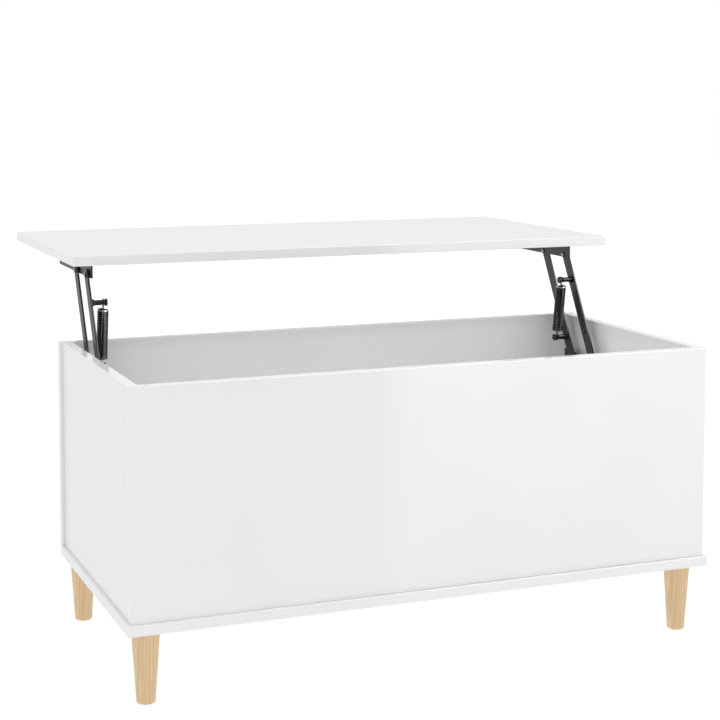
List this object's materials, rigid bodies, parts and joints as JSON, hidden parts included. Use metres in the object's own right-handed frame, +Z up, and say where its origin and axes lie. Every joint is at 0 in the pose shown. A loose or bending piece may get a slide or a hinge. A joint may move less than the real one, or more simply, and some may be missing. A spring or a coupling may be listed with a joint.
{
  "type": "lift top coffee table",
  "caption": "Low storage coffee table on turned wooden legs, with a white top that swings up and towards the sitter on sprung arms.",
  "frame": {"origin": "on the floor under the middle of the closed top", "axes": "+Z up, +Y from the plain back to the ribbed front where the sitter is, +X to the right along the table when seen from the plain back"},
  "size_m": [0.9, 0.7539, 0.5804],
  "materials": {
    "white_lacquer": "high gloss white lacquer on MDF",
    "beech": "satin lacquered beech",
    "dowel_wood": "raw beech",
    "black_steel": "black powder coat",
    "spring_steel": "black phosphated spring wire",
    "zinc_steel": "bright zinc plate",
    "cam_zinc": "die cast zinc",
    "nylon": "natural nylon",
    "glide_plastic": "moulded polyethylene",
    "pad_rubber": "clear soft polyurethane"
  },
  "bodies": {
    "cabinet": {"base_panel": "white_lacquer", "back_panel": "white_lacquer", "front_panel": "white_lacquer", "side_panel_left": "white_lacquer", "side_panel_right": "white_lacquer", "leg_back_left": "beech", "leg_front_left": "beech", "leg_back_right": "beech", "leg_front_right": "beech", "leg_hanger_bolts": "zinc_steel", "leg_inserts": "zinc_steel", "leg_glides": "glide_plastic", "cam_locks": "cam_zinc", "cam_bolts": "zinc_steel", "dowels": "dowel_wood", "base_screws": "zinc_steel", "bumper_pads": "pad_rubber", "base_bracket_left": "black_steel", "base_bracket_right": "black_steel", "base_bracket_screws": "zinc_steel", "base_pivot_rivets": "zinc_steel", "base_pivot_washers": "nylon", "stop_pins": "zinc_steel"},
    "tabletop": {"top_panel": "white_lacquer", "top_bracket_left": "black_steel", "top_bracket_right": "black_steel", "top_bracket_screws": "zinc_steel", "top_pivot_rivets": "zinc_steel", "top_pivot_washers": "nylon"},
    "rear_arm_left": {"rear_arm_left": "black_steel", "upper_post_left": "black_steel", "arm_studs_left": "zinc_steel"},
    "front_arm_left": {"front_arm_left": "black_steel", "lower_post_left": "black_steel"},
    "spring_upper_left": {"spring_upper_left": "spring_steel"},
    "spring_lower_left": {"spring_lower_left": "spring_steel"},
    "rear_arm_right": {"rear_arm_right": "black_steel", "upper_post_right": "black_steel", "arm_studs_right": "zinc_steel"},
    "front_arm_right": {"front_arm_right": "black_steel", "lower_post_right": "black_steel"},
    "spring_upper_right": {"spring_upper_right": "spring_steel"},
    "spring_lower_right": {"spring_lower_right": "spring_steel"}
  },
  "joints": [
    {"name": "lift", "type": "hinge", "parent": "cabinet", "child": "rear_arm_left", "pos_m": [-0.414, 0.05325, 0.35722], "axis": [1, 0, 0], "range_deg": [0, 102.5]},
    {"name": "top_pivot", "type": "hinge", "parent": "rear_arm_left", "child": "tabletop", "pos_m": [-0.414, 0.157, 0.54439], "axis": [1, 0, 0], "range_deg": [-102.5, 0]},
    {"name": "front_arm_left_pivot", "type": "hinge", "parent": "cabinet", "child": "front_arm_left", "pos_m": [-0.414, 0.12325, 0.35722], "axis": [1, 0, 0], "range_deg": [0, 102.5]},
    {"name": "rear_arm_right_pivot", "type": "hinge", "parent": "cabinet", "child": "rear_arm_right", "pos_m": [0.414, 0.05325, 0.35722], "axis": [1, 0, 0], "range_deg": [0, 102.5]},
    {"name": "front_arm_right_pivot", "type": "hinge", "parent": "cabinet", "child": "front_arm_right", "pos_m": [0.414, 0.12325, 0.35722], "axis": [1, 0, 0], "range_deg": [0, 102.5]},
    {"name": "spring_left_hook", "type": "hinge", "parent": "rear_arm_left", "child": "spring_upper_left", "pos_m": [-0.394, 0.1346, 0.50398], "axis": [1, 0, 0], "range_deg": [-31.21, 0]},
    {"name": "spring_left_stretch", "type": "slide", "parent": "spring_upper_left", "child": "spring_lower_left", "axis": [0, 0.1474, -0.9891], "range_m": [0, 0.0815], "deforming": ["spring_upper_left", "spring_lower_left"]},
    {"name": "spring_right_hook", "type": "hinge", "parent": "rear_arm_right", "child": "spring_upper_right", "pos_m": [0.394, 0.1346, 0.50398], "axis": [1, 0, 0], "range_deg": [-31.21, 0]},
    {"name": "spring_right_stretch", "type": "slide", "parent": "spring_upper_right", "child": "spring_lower_right", "axis": [0, 0.1474, -0.9891], "range_m": [0, 0.0815], "deforming": ["spring_upper_right", "spring_lower_right"]}
  ],
  "couplings": [
    {"joint": "top_pivot", "follows": "lift", "ratio": -1},
    {"joint": "front_arm_left_pivot", "follows": "lift", "ratio": 1},
    {"joint": "rear_arm_right_pivot", "follows": "lift", "ratio": 1},
    {"joint": "front_arm_right_pivot", "follows": "lift", "ratio": 1},
    {"joint": "spring_left_hook", "follows": "lift", "ratio": -0.30442},
    {"joint": "spring_left_stretch", "follows": "lift", "m_per_rad": 0.045488},
    {"joint": "spring_right_hook", "follows": "lift", "ratio": -0.30442},
    {"joint": "spring_right_stretch", "follows": "lift", "m_per_rad": 0.045488}
  ]
}
